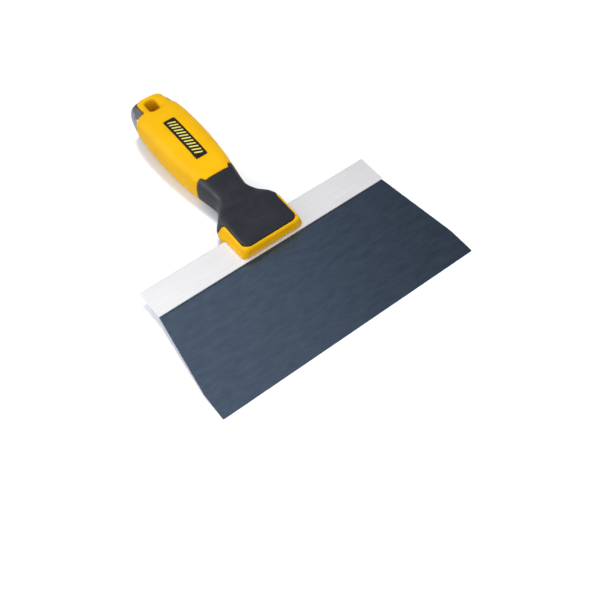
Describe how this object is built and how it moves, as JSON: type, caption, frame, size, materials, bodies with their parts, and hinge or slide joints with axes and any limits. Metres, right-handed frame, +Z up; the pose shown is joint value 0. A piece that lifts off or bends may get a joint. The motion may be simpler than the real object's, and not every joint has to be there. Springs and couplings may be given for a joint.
{
  "type": "drywall taping knife",
  "caption": "Wide flat steel drywall taping knife with a folded aluminium backer, riveted soft-grip handle, thumb pad and metal butt cap with a hang hole.",
  "frame": {"origin": "centre of the bounding box in plan, at the surface the knife lies on", "axes": "+X along the working edge, +Y from the working edge towards the butt, +Z up, out of the side with the thumb pad; the blade plane is tilted 5.7 degrees about X, because the knife lies face up on its working edge and the belly of its handle"},
  "size_m": [0.2032, 0.253, 0.0341],
  "materials": {
    "blued_steel": "blued spring steel, faint lengthwise grain",
    "brushed_aluminium": "fine brushed, pale",
    "plain_steel": "plain",
    "yellow_plastic": "satin moulded yellow plastic",
    "black_rubber": "matt soft-touch black",
    "cast_metal": "satin grey cast metal",
    "label": null
  },
  "bodies": {
    "root": {"blade": "blued_steel", "backer_channel": "brushed_aluminium", "tang_plate": "plain_steel", "handle_core": "yellow_plastic", "soft_grip": "black_rubber", "end_cap": "cast_metal", "badge_plate": "label", "rivet_left": "plain_steel", "rivet_centre": "plain_steel", "rivet_right": "plain_steel", "rivet_washer_left": "plain_steel", "rivet_washer_centre": "plain_steel", "rivet_washer_right": "plain_steel"}
  },
  "joints": []
}
